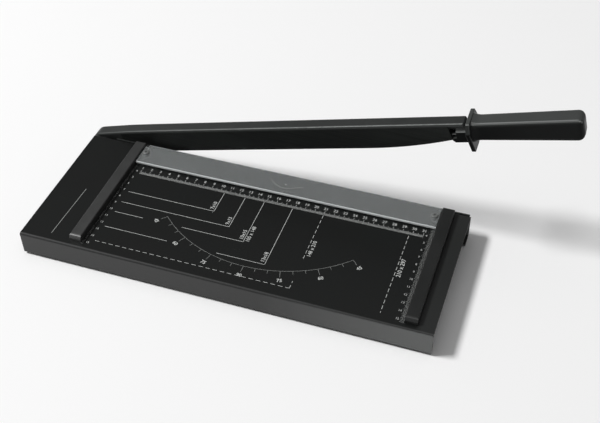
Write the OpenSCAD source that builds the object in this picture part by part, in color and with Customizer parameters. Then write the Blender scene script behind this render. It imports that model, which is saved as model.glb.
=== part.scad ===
// Desk guillotine for paper: a folded steel base, a screwed-on bed knife and a
// hinged cutting arm. Everything is placed from one corner of the cut: X runs
// along the cut with 0 at the left fence's inner face (the rulers' zero), Y
// crosses it with 0 at the cutting plane, and Z is 0 on the deck. The arm's own
// pieces are drawn along X from the pivot, with Z as the height over its axis.

/* [Base] */
// Length of the base along the cut
board_w = 412; // [400:1:440]
// Depth of the base from front to back
board_d = 160; // [158:1:190]
// Height of the folded skirts, from the deck down to the rim
skirt_h = 26.4; // [26:0.2:34]
// Thickness of the steel sheet
sheet_t = 1.5; // [1.2:0.1:2]
// Outer radius of the folds
bend_r = 2.2; // [2.1:0.1:3]
// Board to the left of the rulers' zero
left_margin = 63.5; // [60:0.5:76]
// Width of the front skirt's return flange
near_flange_w = 15; // [14:0.5:20]
// Width of the back skirt's return flange
far_flange_w = 16; // [15:0.5:20]

/* [Feet] */
// How far the rubber feet stand below the rim
foot_drop = 1.6; // [1.2:0.1:4]
// Radius of a foot's pad
foot_r = 6; // [5:0.25:6.5]
// Distance of the feet from the base's ends
foot_inset = 18; // [16:1:24]

/* [Bed knife] */
// Thickness of the bed knife
knife_t = 1.8; // [1.7:0.1:2.4]
// Height of the bed knife
knife_h = 19; // [16:0.5:22]
// Number of bed knife screws
knife_screw_n = 5; // [3:1:8]

/* [Fences] */
// Clear distance between the two fences
fence_gap = 320.5; // [312:0.5:324]
// Width of a fence
fence_w = 12; // [10:0.5:14]
// Height of a fence above the deck
fence_h = 7; // [6.5:0.25:9]
// Front edge of the base to a fence's near end
fence_front = 6.8; // [6:0.2:12]
// Gap between the cutting plane and a fence
fence_back = 5; // [4:0.5:8]

/* [Paper clamp] */
// Depth of the clear clamp plate
clamp_d = 28.8; // [26:0.2:34]
// Thickness of the clear clamp plate
clamp_t = 3; // [2.5:0.25:4]
// Space for paper under the clamp plate
paper_gap = 2; // [1.8:0.1:3]
// Gap between the cutting plane and the clamp plate
clamp_back = 4.5; // [3.5:0.25:6]
// Side gap between the clamp plate and each fence
clamp_side = 0.8; // [0.4:0.1:1.5]

/* [Arm] */
// How far the arm is raised from its closed place
arm_raise = 15.3; // [0:0.1:70]
// Pivot to the end of the spine
spine_l = 403; // [396:1:412]
// Width of the spine across the cut
spine_w = 14.8; // [13:0.2:16]
// Top of the spine above the pivot axis
spine_top = 15.5; // [15:0.25:18]
// Thickness of the spine's upper part, over the blade's middle
spine_h = 15; // [14:0.25:17]
// Radius of the arm's end round the pivot
pivot_end_r = 14; // [13:0.25:14.2]
// Radius of the pivot bolt
bolt_r = 4; // [3.5:0.25:4.5]

/* [Blade] */
// Thickness of the cutting blade
blade_t = 2; // [1.6:0.1:2.6]
// Blade edge below the pivot axis
blade_drop = 10.6; // [10:0.1:12]
// Spine's end to the blade's end
blade_back = 14; // [13:0.5:23]

/* [Handle] */
// Length of the grip
grip_l = 100.5; // [80:0.5:130]
// Width of the grip at its end
grip_w = 20; // [18:0.5:24]
// Height of the grip at its end
grip_h = 23.2; // [20:0.2:26]
// Width of the finger guard at its widest
guard_w = 36; // [34:0.5:42]
// Height of the finger guard
guard_h = 35.4; // [33:0.2:40]
// Thickness of the finger guard
guard_t = 4; // [2.5:0.25:5]

/* [Hidden] */

$fn = 48;
hex_sides = 6;
// One overrun serves all cuts, and half of a small gap keeps a screw off its hole
cut = 1;
fit_gap = 0.1;
// Gap between the arm and the pieces of the base that it swings past
swing_gap = 0.3;

// Where the base stands under the cut
right_x = board_w - left_margin;
near_y = -knife_t - board_d;
skirt_y = -knife_t;
stand_h = skirt_h + foot_drop;

// Near flange stops short of the ends, as a folded corner does
flange_relief = 6;
foot_place_share = 0.56;
foot_near_y = near_y + near_flange_w * foot_place_share;
foot_far_y = skirt_y - far_flange_w * foot_place_share;
foot_neck_r = 2.4;
foot_head_r = 4;
foot_head_h = 1.6;
foot_round = 0.5;

// Bed knife and its countersunk screws
knife_left = 38;
knife_end_gap = 1.5;
knife_x0 = -knife_left;
knife_x1 = right_x - knife_end_gap;
knife_screw_edge = 16;
knife_bevel = 0.4;
csk_r = 2.8;
csk_h = 1.4;
small_screw_r = 1.5;
nut_flat = 5.5;
nut_t = 2.4;
thread_gap = 0.05;
slot_share = 0.6;
inner_y = skirt_y - sheet_t;

// Fences
fence_round = 1.2;
fence_nose_r = 3.5;
fence_tail_r = 1;
fence_screw_end = 14;
fence_screw_n = 3;
fence_screw_grip = 4.5;
pan_r = 2.9;
pan_h = 1.9;
pan_top_share = 0.7;

// Clamp plate, its shoulder screws, springs and bushes
clamp_x0 = clamp_side;
clamp_x1 = fence_gap - clamp_side;
clamp_y0 = -clamp_back - clamp_d;
clamp_y1 = -clamp_back;
clamp_top = paper_gap + clamp_t;
clamp_bevel = 0.6;
clamp_notch_w = 3;
clamp_notch_d = 4;
clamp_screw_end = 4.6;
clamp_screw_y = -18;
clamp_xs = [clamp_x0 + clamp_screw_end, clamp_x1 - clamp_screw_end];
shoulder_r = 1.9;
shoulder_gap = 0.3;
button_r = 3.4;
button_h = 1.6;
socket_flat = 2;
bush_in_r = 3.7;
bush_wall = 0.8;
bush_floor = 3;
bush_depth = 8;
bush_flange_r = 6;
bush_flange_t = 1.2;
spring_r = 3;
spring_wire_r = 0.35;
spring_turns = 4;
spring_sides = 6;
spring_rings = 8;

// Pivot, which passes through the back skirt near its left end
pivot_in = 8.5;
pivot_x = pivot_in - left_margin;
pivot_z = -12.5;
arm_y = swing_gap;
arm_back_y = arm_y + spine_w;
running_gap = 0.04;
bush_t = 1.5;
washer_t = 1.5;
washer_r = 11;
spacer_r = 8.4;
head_r = 8;
head_h = 4.6;
head_rim = 2.2;
head_socket = 5;
disc_n = 4;
disc_r = 8.2;
disc_t = 1.1;
disc_rise = 0.8;
pivot_nut_flat = 13;
pivot_nut_h = 6.5;
pivot_nut_collar = 2;
bolt_tip = 1.5;
disc_y = inner_y - washer_t;
nut_y = disc_y - disc_n * (disc_t + disc_rise);
bolt_end_y = nut_y - pivot_nut_h - bolt_tip;

// Spine: its top climbs from the round pivot end, and its handle end is stepped
spine_round = 2.6;
round_steps = 4;
spine_swell_l = 35;
swell_share = 0.14;
spine_full_l = 60;
heel_l = 14;
taper_l = 50;
spine_bottom = spine_top - spine_h;
end_slope = 1.2;
seat_gap = 0.2;

// Blade: a straight edge that curves up at the handle end, ground on its back
blade_top = spine_top - 3;
blade_end = spine_l - blade_back;
blade_lean = 2;
blade_start = 26;
blade_toe = 6;
blade_curve_l = 84;
blade_curve_x = blade_end - blade_curve_l;
blade_curve_r = 430;
blade_curve_steps = 12;
blade_bevel_h = 3.2;
blade_edge_t = 0.5;
blade_band_h = 2.4;
blade_relief = 0.1;
blade_screw_n = 6;
blade_screw_r = 2;
blade_screw_h = 7;
blade_screw_skin = 0.6;
blade_screw_margin = 22;
blade_head_r = 3.8;
blade_head_h = 2.2;

// Handle: ferrule block, finger guard, grip and the rod through them
handle_y = arm_y + 7.7;
guard_x = spine_l + 2.5;
ferrule_l = 12;
ferrule_x = guard_x - ferrule_l;
ferrule_toe_gap = 0.4;
ferrule_toe_x = blade_end + ferrule_toe_gap;
ferrule_toe_top = -0.8;
ferrule_low = -6;
ferrule_high = 9.4;
ferrule_front = 0.4;
ferrule_bevel_h = 3.8;
ferrule_bevel_y = 2.9;
ferrule_chamfer = 2;
ferrule_edge = 0.5;
pocket_l = 5.5;
pocket_share = 1.4;
rod_r = 1.9;
rod_h = 1.6;
rod_y = arm_y + 4.9;
rod_out = 5;
rod_in_grip = 60;
ferrule_screw_x = ferrule_x + 5.5;
ferrule_screw_y = arm_y + 9.7;
ferrule_screw_in = 3.5;
ferrule_screw_r = 1.25;
ferrule_head_r = 2.1;
ferrule_head_h = 1;
ferrule_socket = 1.5;
guard_low = -16.6;
guard_corner = 2.5;
guard_shares = [[0.5, 0.75], [0.36, 1], [-0.36, 1], [-0.5, 0.75], [-0.23, 0], [0.23, 0]];
guard_edge = 0.8;
grip_mid = 6.1;
grip_x = guard_x + guard_t;
handle_end = grip_x + grip_l;
neck_w_share = 0.92;
neck_h_share = 0.83;
flare_l = 8;
flare = 4;
grip_tip = 6;
grip_corner = 3.8;
corner_steps = 5;

// Points along an arc in a plane, from angle a0 to angle a1
function arc(x, y, r, a0, a1, n) =
    [for (i = [0:n]) [x + r * cos(a0 + (a1 - a0) * i / n), y + r * sin(a0 + (a1 - a0) * i / n)]];

// A box outline with round corners, about the point (x, y)
function round_box(x, y, w, h, r, n) = concat(
    arc(x + w / 2 - r, y + h / 2 - r, r, 0, 90, n),
    arc(x - w / 2 + r, y + h / 2 - r, r, 90, 180, n),
    arc(x - w / 2 + r, y - h / 2 + r, r, 180, 270, n),
    arc(x + w / 2 - r, y - h / 2 + r, r, 270, 360, n));

// Skins a stack of closed outlines that all have the same number of points
module loft(sections) {
    m = len(sections[0]);
    k = len(sections);
    points = [for (s = sections) for (p = s) p];
    sides = [for (j = [0:k - 2]) for (i = [0:m - 1]) let (n = (i + 1) % m)
        each [[j * m + i, j * m + n, (j + 1) * m + n], [j * m + i, (j + 1) * m + n, (j + 1) * m + i]]];
    caps = [[for (i = [m:-1:1]) i % m], [for (i = [0:m - 1]) (k - 1) * m + i]];
    polyhedron(points, concat(sides, caps), convexity = 4);
}

// Places the cut's corner in the part's own frame, centred over the stand
module at_cut() {
    translate([-(x_high + x_low) / 2, -(y_high + near_y) / 2, stand_h]) children();
}
x_low = min(pivot_x - pivot_end_r, -left_margin);
x_high = pivot_x + (handle_end - grip_tip) * cos(arm_raise) + grip_tip
    - (grip_mid - grip_h / 2 + grip_tip) * sin(arm_raise);
y_high = handle_y + guard_w / 2;

// Places a piece of the arm, raised about the pivot
module on_arm() {
    at_cut() translate([pivot_x, 0, pivot_z]) rotate([0, -arm_raise, 0]) children();
}

// Extrudes an outline drawn in Y and Z along X
module along_x(x0, x1) {
    translate([x0, 0, 0]) rotate([90, 0, 90]) linear_extrude(x1 - x0) children();
}

// Extrudes an outline drawn in X and Z along Y, from y0 to y1
module along_y(y0, y1) {
    translate([0, y1, 0]) rotate([90, 0, 0]) linear_extrude(y1 - y0) children();
}

// A round bar along Y, from y0 to y1
module bar_y(y0, y1, r) {
    translate([0, y1, 0]) rotate([90, 0, 0]) cylinder(r = r, h = y1 - y0);
}

// Turns a profile drawn in radius and depth round Y, with depth towards +Y
module turned_y(points) {
    rotate([-90, 0, 0]) rotate_extrude() polygon(points);
}

module folded_outline() {
    r_in = bend_r - sheet_t;
    top = -bend_r;
    low = bend_r - skirt_h;
    y0 = near_y + bend_r;
    y1 = skirt_y - bend_r;
    polygon(concat(
        [[near_y + near_flange_w, -skirt_h]],
        arc(y0, low, bend_r, 270, 180, corner_steps),
        arc(y0, top, bend_r, 180, 90, corner_steps),
        arc(y1, top, bend_r, 90, 0, corner_steps),
        arc(y1, low, bend_r, 0, -90, corner_steps),
        [[skirt_y - far_flange_w, -skirt_h], [skirt_y - far_flange_w, sheet_t - skirt_h]],
        arc(y1, low, r_in, -90, 0, corner_steps),
        arc(y1, top, r_in, 0, 90, corner_steps),
        arc(y0, top, r_in, 90, 180, corner_steps),
        arc(y0, low, r_in, 180, 270, corner_steps),
        [[near_y + near_flange_w, sheet_t - skirt_h]]));
}

function spread(a, b, n) = [for (i = [0:n - 1]) a + (b - a) * i / (n - 1)];
knife_screw_xs = spread(knife_x0 + knife_screw_edge, knife_x1 - knife_screw_edge, knife_screw_n);
fence_near_y = near_y + fence_front;
fence_screw_ys = spread(fence_near_y + fence_screw_end, -fence_back - fence_screw_end, fence_screw_n);
fence_mids = [-fence_w / 2, fence_gap + fence_w / 2];
foot_xs = [foot_inset - left_margin, right_x - foot_inset];
foot_ys = [foot_near_y, foot_far_y];

module base_deck() at_cut() color([0.13, 0.13, 0.135]) {
    difference() {
        along_x(-left_margin, right_x) folded_outline();
        for (x = [-left_margin - cut, right_x - flange_relief])
            translate([x, near_y + bend_r, -skirt_h - cut])
                cube([flange_relief + cut, near_flange_w, sheet_t + 2 * cut]);
        for (x = foot_xs, y = foot_ys)
            translate([x, y, -skirt_h - cut]) cylinder(r = foot_neck_r + fit_gap, h = sheet_t + 2 * cut);
        for (x = fence_mids, y = fence_screw_ys)
            translate([x, y, -sheet_t - cut])
                cylinder(r = small_screw_r + fit_gap, h = sheet_t + 2 * cut);
        for (x = clamp_xs)
            translate([x, clamp_screw_y, -sheet_t - cut])
                cylinder(r = bush_in_r + bush_wall + fit_gap, h = sheet_t + 2 * cut);
        for (x = knife_screw_xs)
            translate([x, 0, -knife_h / 2])
                bar_y(skirt_y - sheet_t - cut, skirt_y + cut, small_screw_r + fit_gap);
        translate([pivot_x, 0, pivot_z])
            bar_y(skirt_y - sheet_t - cut, skirt_y + cut, bolt_r + fit_gap);
    }
}

module bed_knife() at_cut() color([0.45, 0.46, 0.47]) {
    difference() {
        along_x(knife_x0, knife_x1)
            polygon([[-knife_t, -knife_h], [-knife_bevel, -knife_h], [0, knife_bevel - knife_h], [0, 0],
                     [-knife_t, 0]]);
        for (x = knife_screw_xs)
            translate([x, 0, -knife_h / 2]) {
                bar_y(-knife_t - cut, cut, small_screw_r + fit_gap);
                turned_y([[0, -csk_h - fit_gap], [small_screw_r, -csk_h - fit_gap],
                          [csk_r + fit_gap, 0], [csk_r + fit_gap, cut], [0, cut]]);
            }
    }
}

// Countersunk screws that hold the bed knife to the back skirt
module bed_knife_screws() at_cut() color([0.5, 0.5, 0.52]) {
    tip = inner_y - nut_t - thread_gap;
    for (x = knife_screw_xs)
        translate([x, 0, -knife_h / 2])
            difference() {
                turned_y([[0, tip], [small_screw_r, tip], [small_screw_r, -csk_h - fit_gap],
                          [csk_r, -fit_gap], [0, -fit_gap]]);
                translate([0, -fit_gap - csk_h * slot_share, 0])
                    rotate([-90, 0, 0]) cylinder(r = socket_flat / sqrt(3), h = csk_h, $fn = hex_sides);
            }
}

module hex_nut(flat, t, bore_r) {
    difference() {
        rotate([-90, 0, 0]) cylinder(r = flat / sqrt(3), h = t, $fn = hex_sides);
        bar_y(-cut, t + cut, bore_r);
    }
}

module bed_knife_nuts() at_cut() color([0.62, 0.62, 0.64]) {
    for (x = knife_screw_xs)
        translate([x, inner_y - nut_t, -knife_h / 2])
            hex_nut(nut_flat, nut_t, small_screw_r + thread_gap);
}

// Push-in rubber feet: a pad, a neck through the flange and a head above it
module rubber_feet() at_cut() color([0.06, 0.06, 0.06]) {
    z_pad = -skirt_h;
    z_head = sheet_t - skirt_h;
    for (x = foot_xs, y = foot_ys)
        translate([x, y, 0])
            rotate_extrude() polygon([[0, -stand_h], [foot_r - foot_round, -stand_h],
                [foot_r, -stand_h + foot_round], [foot_r, z_pad], [foot_neck_r, z_pad],
                [foot_neck_r, z_head], [foot_head_r, z_head],
                [foot_neck_r, z_head + foot_head_h], [0, z_head + foot_head_h]]);
}

// A fence bar: rounded along its top edges, with a round nose towards the user
module fence(x_mid) {
    difference() {
        intersection() {
            along_y(fence_near_y, -fence_back)
                polygon(concat([[x_mid - fence_w / 2, 0], [x_mid + fence_w / 2, 0]],
                    arc(x_mid + fence_w / 2 - fence_round, fence_h - fence_round, fence_round, 0, 90, corner_steps),
                    arc(x_mid - fence_w / 2 + fence_round, fence_h - fence_round, fence_round, 90, 180,
                        corner_steps)));
            along_x(x_mid - fence_w, x_mid + fence_w)
                polygon(concat([[fence_near_y, 0], [-fence_back, 0]],
                    arc(-fence_back - fence_tail_r, fence_h - fence_tail_r, fence_tail_r, 0, 90, corner_steps),
                    arc(fence_near_y + fence_nose_r, fence_h - fence_nose_r, fence_nose_r, 90, 180,
                        corner_steps)));
        }
        for (y = fence_screw_ys)
            translate([x_mid, y, -cut]) cylinder(r = small_screw_r + thread_gap, h = cut + fence_screw_grip + fit_gap);
    }
}

module left_fence() at_cut() color([0.2, 0.2, 0.2]) fence(fence_mids[0]);

module right_fence() at_cut() color([0.2, 0.2, 0.2]) fence(fence_mids[1]);

// Pan head screws, driven up through the deck into the fences
module fence_screws() at_cut() color([0.55, 0.55, 0.57]) {
    for (x = fence_mids, y = fence_screw_ys)
        translate([x, y, -sheet_t])
            difference() {
                rotate_extrude() polygon([[0, -pan_h], [pan_r * pan_top_share, -pan_h],
                    [pan_r, -pan_h * pan_top_share], [pan_r, 0], [small_screw_r, 0],
                    [small_screw_r, sheet_t + fence_screw_grip], [0, sheet_t + fence_screw_grip]]);
                translate([0, 0, -pan_h - cut])
                    cylinder(r = socket_flat / sqrt(3), h = cut + pan_h * slot_share, $fn = hex_sides);
            }
}

// Clear plate that presses the paper down beside the cut
module clamp_plate() at_cut() color([0.8, 0.85, 0.87, 0.4]) {
    difference() {
        along_x(clamp_x0, clamp_x1)
            polygon([[clamp_y0, paper_gap + clamp_bevel], [clamp_y0 + clamp_bevel, paper_gap],
                     [clamp_y1, paper_gap], [clamp_y1, clamp_top - clamp_bevel],
                     [clamp_y1 - clamp_bevel, clamp_top], [clamp_y0 + clamp_bevel, clamp_top],
                     [clamp_y0, clamp_top - clamp_bevel]]);
        translate([clamp_x0 - cut, clamp_y1 - clamp_notch_d, paper_gap - cut])
            cube([clamp_notch_w + cut, clamp_notch_d + cut, clamp_t + 2 * cut]);
        for (x = clamp_xs)
            translate([x, clamp_screw_y, paper_gap - cut])
                cylinder(r = shoulder_r + shoulder_gap, h = clamp_t + 2 * cut);
    }
}

// Shoulder screws: the plate slides on them and stops under their heads
module clamp_screws() at_cut() color([0.7, 0.7, 0.72]) {
    z_head = clamp_top + fit_gap;
    z_low = -bush_depth - bush_floor;
    for (x = clamp_xs)
        translate([x, clamp_screw_y, 0])
            difference() {
                rotate_extrude() polygon([[0, z_low], [small_screw_r, z_low], [small_screw_r, -bush_depth],
                    [shoulder_r, -bush_depth], [shoulder_r, z_head], [button_r, z_head],
                    [button_r, z_head + button_h * slot_share], [button_r * pan_top_share, z_head + button_h],
                    [0, z_head + button_h]]);
                translate([0, 0, z_head + button_h * (1 - slot_share)])
                    cylinder(r = socket_flat / sqrt(3), h = button_h, $fn = hex_sides);
            }
}

// Height of a clamp spring's centre line after t turns, with closer turns at its ends
spring_seat = 0.05;
spring_end_gap = 0.45;
spring_end_turns = 0.75;
spring_end_rise = 2 * spring_wire_r + spring_end_gap;
spring_z0 = -bush_depth + spring_wire_r + spring_seat;
spring_z1 = paper_gap - spring_wire_r - spring_seat;
spring_all_turns = spring_turns + 2 * spring_end_turns;
function spring_height(t) =
    let (span = spring_z1 - spring_z0 - 2 * spring_end_rise * spring_end_turns)
    t < spring_end_turns ? spring_z0 + spring_end_rise * t
    : t > spring_end_turns + spring_turns ? spring_z1 - spring_end_rise * (spring_all_turns - t)
    : spring_z0 + spring_end_rise * spring_end_turns + span * (t - spring_end_turns) / spring_turns;

// Coil springs that lift the clamp plate
module clamp_springs() at_cut() color([0.75, 0.75, 0.77]) {
    steps = spring_all_turns * spring_rings;
    for (x = clamp_xs)
        translate([x, clamp_screw_y, 0])
            loft([for (i = [0:steps]) let (t = i / spring_rings, a = 360 * t, z = spring_height(t))
                [for (j = [0:spring_sides - 1]) let (b = 360 * j / spring_sides,
                    r = spring_r + spring_wire_r * cos(b))
                    [r * cos(a), r * sin(a), z + spring_wire_r * sin(b)]]]);
}
// Least gap between a turn of the spring and the next, along its whole length
echo(spring_least_gap = min([for (i = [0:(spring_all_turns - 1) * spring_rings])
    spring_height(i / spring_rings + 1) - spring_height(i / spring_rings)]) - 2 * spring_wire_r);

// Flanged bushes, pressed up through the deck, that seat springs and screws
module clamp_bushes() at_cut() color([0.72, 0.58, 0.3]) {
    out_r = bush_in_r + bush_wall;
    low = -bush_depth - bush_floor;
    for (x = clamp_xs)
        translate([x, clamp_screw_y, 0])
            difference() {
                union() {
                    translate([0, 0, low]) cylinder(r = out_r, h = -low - fit_gap);
                    translate([0, 0, -sheet_t - bush_flange_t]) cylinder(r = bush_flange_r, h = bush_flange_t);
                }
                translate([0, 0, -bush_depth]) cylinder(r = bush_in_r, h = bush_depth + cut);
                translate([0, 0, low - cut]) cylinder(r = small_screw_r + thread_gap, h = bush_floor + 2 * cut);
            }
}

module at_pivot() {
    at_cut() translate([pivot_x, 0, pivot_z]) children();
}

module ring_y(y0, y1, r_out, r_in) {
    difference() {
        bar_y(y0, y1, r_out);
        bar_y(y0 - cut, y1 + cut, r_in);
    }
}
outer_washer_y = arm_back_y + swing_gap;
head_y = outer_washer_y + washer_t;

// Bolt that the arm turns on, with a domed head outside the arm
module pivot_bolt() at_pivot() color([0.6, 0.6, 0.62]) {
    difference() {
        turned_y(concat(
            [[0, bolt_end_y], [bolt_r - bolt_tip / 2, bolt_end_y], [bolt_r, bolt_end_y + bolt_tip],
             [bolt_r, head_y], [head_r, head_y]],
            [for (i = [0:corner_steps]) let (a = 90 * i / corner_steps)
                [head_r * cos(a), head_y + head_rim + (head_h - head_rim) * sin(a)]]));
        translate([0, head_y + head_rim, 0])
            rotate([-90, 0, 0]) cylinder(r = head_socket / sqrt(3), h = head_h, $fn = hex_sides);
    }
}

module pivot_outer_washer() at_pivot() color([0.66, 0.66, 0.68])
    ring_y(outer_washer_y, head_y, washer_r, bolt_r + fit_gap);

// Thick washer that holds the arm off the skirt by the bed knife's thickness
module pivot_spacer() at_pivot() color([0.66, 0.66, 0.68])
    ring_y(skirt_y, 0, spacer_r, bolt_r + fit_gap);

module pivot_inner_washer() at_pivot() color([0.66, 0.66, 0.68])
    ring_y(disc_y, inner_y, spacer_r, bolt_r + fit_gap);

// Disc springs, stacked by turns, that pull the blade against the bed knife
module pivot_disc_springs() at_pivot() color([0.4, 0.4, 0.42]) {
    step = disc_t + disc_rise;
    r0 = bolt_r + fit_gap;
    for (i = [0:disc_n - 1])
        translate([0, disc_y - (i + 1) * step, 0])
            turned_y(i % 2 == 0
                ? [[r0, 0], [disc_r, disc_rise], [disc_r, step], [r0, disc_t]]
                : [[r0, disc_rise], [disc_r, 0], [disc_r, disc_t], [r0, step]]);
}

// Lock nut with a round collar
module pivot_nut() at_pivot() color([0.66, 0.66, 0.68]) {
    translate([0, nut_y - pivot_nut_h + pivot_nut_collar, 0])
        hex_nut(pivot_nut_flat, pivot_nut_h - pivot_nut_collar, bolt_r + thread_gap);
    ring_y(nut_y - pivot_nut_h, nut_y - pivot_nut_h + pivot_nut_collar,
           pivot_nut_flat / 2 - bolt_tip / 2, bolt_r + thread_gap);
}

// Side view of the spine, drawn in by d all round. It starts at the inner corner
// under the taper, from which its whole face can be split into triangles.
function spine_outline(d) = concat(
    [[taper_l, spine_bottom + d], [heel_l, d - pivot_end_r]],
    arc(0, 0, pivot_end_r - d, 270, 90, 4 * corner_steps),
    [[spine_swell_l, spine_top - d - swell_share * (spine_top - pivot_end_r)], [spine_full_l, spine_top - d],
     [spine_l - end_slope - d, spine_top - d], [spine_l - d, spine_top - end_slope - d],
     [spine_l - d, spine_bottom + d]]);
function spine_section(y, d) = [for (p = spine_outline(d)) [p[0], y, p[1]]];

// Spine: a bar with round long edges, rebated in front for the blade
module arm_spine() on_arm() color([0.12, 0.12, 0.125]) {
    turns = [for (i = [0:round_steps]) 90 * i / round_steps];
    low = -pivot_end_r - cut;
    difference() {
        loft(concat(
            [for (a = turns) spine_section(arm_back_y - spine_round * (1 - cos(a)), spine_round * (1 - sin(a)))],
            [for (i = [round_steps:-1:0]) let (a = turns[i])
                spine_section(arm_y + spine_round * (1 - cos(a)), spine_round * (1 - sin(a)))]));
        translate([blade_start - seat_gap, arm_y - cut, low])
            cube([spine_l, cut + blade_t, blade_top - low]);
        translate([ferrule_x - pocket_l, arm_y - cut, low])
            cube([spine_l, cut + rod_y - arm_y + pocket_share * rod_r, ferrule_high + seat_gap - low]);
        translate([ferrule_x - seat_gap, arm_y - cut, low])
            cube([spine_l, spine_w + 2 * cut, ferrule_high - low]);
        bar_y(arm_y - cut, arm_back_y + cut, bolt_r + running_gap + bush_t + thread_gap);
        for (x = blade_screw_xs)
            translate([x, 0, blade_screw_h]) bar_y(arm_y, arm_back_y + cut, blade_screw_r + fit_gap);
        translate([ferrule_screw_x, ferrule_screw_y, ferrule_high - cut])
            cylinder(r = ferrule_screw_r + thread_gap, h = cut + ferrule_screw_in + fit_gap);
    }
}
blade_screw_xs = spread(taper_l + blade_screw_margin / 2, blade_end - blade_screw_margin, blade_screw_n);

// Blade outline with its lower edge drawn up by d
function blade_outline(d) =
    let (turn = asin((blade_end - blade_curve_x) / blade_curve_r), low = d - blade_drop)
    concat(
        [[blade_end - blade_lean, blade_top], [blade_start, blade_top], [blade_start, low + blade_toe],
         [blade_start + blade_toe, low]],
        [for (i = [0:blade_curve_steps]) let (a = turn * i / blade_curve_steps)
            [blade_curve_x + blade_curve_r * sin(a), low + blade_curve_r * (1 - cos(a))]]);
function blade_section(y, d) = [for (p = blade_outline(d)) [p[0], y, p[1]]];

module cutting_blade() on_arm() color([0.2, 0.2, 0.21]) {
    difference() {
        loft([blade_section(arm_y, 0), blade_section(arm_y + blade_edge_t, 0),
              blade_section(arm_y + blade_t, blade_bevel_h)]);
        along_y(arm_y - cut, arm_y + blade_relief)
            polygon(blade_outline(blade_band_h));
        for (x = blade_screw_xs)
            translate([x, 0, blade_screw_h])
                bar_y(arm_y + blade_screw_skin, arm_y + blade_t + cut, blade_screw_r + thread_gap);
    }
}

// Pan head screws, driven through the spine from behind into the blade
module blade_screws() on_arm() color([0.3, 0.3, 0.31]) {
    tip = arm_y + blade_screw_skin + fit_gap;
    for (x = blade_screw_xs)
        translate([x, 0, blade_screw_h])
            difference() {
                turned_y([[0, tip], [blade_screw_r, tip], [blade_screw_r, arm_back_y], [blade_head_r, arm_back_y],
                    [blade_head_r, arm_back_y + blade_head_h * slot_share],
                    [blade_head_r * pan_top_share, arm_back_y + blade_head_h], [0, arm_back_y + blade_head_h]]);
                translate([0, arm_back_y + blade_head_h * (1 - slot_share), 0])
                    rotate([-90, 0, 0])
                        cylinder(r = blade_screw_r / cos(180 / hex_sides), h = blade_head_h, $fn = hex_sides);
            }
}

// Plain bearing between the spine and the pivot bolt
module pivot_bush() on_arm() color([0.7, 0.55, 0.3])
    ring_y(arm_y, arm_back_y, bolt_r + running_gap + bush_t, bolt_r + running_gap);

// Block under the spine's end that carries the handle's rod
module handle_ferrule() on_arm() color([0.16, 0.16, 0.165]) {
    y0 = arm_y + ferrule_front;
    difference() {
        along_x(ferrule_toe_x, guard_x)
            polygon([[y0 + ferrule_edge, ferrule_low], [arm_back_y - ferrule_edge, ferrule_low],
                     [arm_back_y, ferrule_low + ferrule_edge], [arm_back_y, ferrule_high],
                     [y0 + ferrule_bevel_y, ferrule_high], [y0, ferrule_high - ferrule_bevel_h],
                     [y0, ferrule_low + ferrule_edge]]);
        translate([ferrule_toe_x - cut, 0, ferrule_toe_top])
            cube([cut + ferrule_x - ferrule_toe_x, arm_back_y + cut, cut + ferrule_high - ferrule_toe_top]);
        translate([ferrule_toe_x, 0, ferrule_low]) rotate([0, 45, 0])
            translate([-ferrule_chamfer, 0, -ferrule_chamfer])
                cube([2 * ferrule_chamfer, arm_back_y + cut, 2 * ferrule_chamfer]);
        translate([ferrule_x - cut, rod_y, rod_h]) rotate([0, 90, 0])
            cylinder(r = rod_r + thread_gap, h = ferrule_l + 2 * cut);
        translate([ferrule_screw_x, ferrule_screw_y, ferrule_low - cut])
            cylinder(r = ferrule_screw_r + fit_gap, h = ferrule_high - ferrule_low + 2 * cut);
        translate([ferrule_screw_x, ferrule_screw_y, ferrule_low - cut])
            cylinder(r = ferrule_head_r + fit_gap, h = cut + fit_gap);
        translate([ferrule_screw_x, ferrule_screw_y, ferrule_low + fit_gap])
            cylinder(r1 = ferrule_head_r + fit_gap, r2 = ferrule_screw_r + fit_gap, h = ferrule_head_h);
    }
}

// Countersunk screw, driven up through the ferrule block into the spine
module ferrule_screw() on_arm() color([0.5, 0.5, 0.52]) {
    low = ferrule_low + fit_gap;
    translate([ferrule_screw_x, ferrule_screw_y, 0])
        difference() {
            rotate_extrude() polygon([[0, low], [ferrule_head_r, low], [ferrule_screw_r, low + ferrule_head_h],
                [ferrule_screw_r, ferrule_high + ferrule_screw_in], [0, ferrule_high + ferrule_screw_in]]);
            translate([0, 0, low - cut])
                cylinder(r = ferrule_socket / sqrt(3), h = cut + ferrule_head_h * slot_share, $fn = hex_sides);
        }
}

// Steel rod from the ferrule block into the grip, with its end showing
module handle_rod() on_arm() color([0.6, 0.6, 0.62]) {
    translate([ferrule_x - rod_out, rod_y, rod_h]) rotate([0, 90, 0])
        cylinder(r = rod_r, h = rod_out + ferrule_l + guard_t + rod_in_grip);
}

// Direction that an edge from p to q faces, in an outline that runs anticlockwise
function edge_turn(p, q) = atan2(p[0] - q[0], q[1] - p[1]);

// An outline with each corner rounded by r, drawn in by d all round
function rounded(corners, r, d, n) =
    [for (k = [0:len(corners) - 1])
        let (m = len(corners), p = corners[k], start = edge_turn(corners[(k + m - 1) % m], p),
             turn = (edge_turn(p, corners[(k + 1) % m]) - start + 360) % 360,
             middle = start + turn / 2, back = r / cos(turn / 2))
        for (a = [for (i = [0:n - 1]) start + turn * i / (n - 1)])
            [p[0] - back * cos(middle) + (r - d) * cos(a), p[1] - back * sin(middle) + (r - d) * sin(a)]];

guard_corners = [for (s = guard_shares) [handle_y + guard_w * s[0], guard_low + guard_h * s[1]]];
function guard_section(x, d) =
    [for (p = rounded(guard_corners, guard_corner, d, corner_steps)) [x, p[0], p[1]]];

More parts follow.
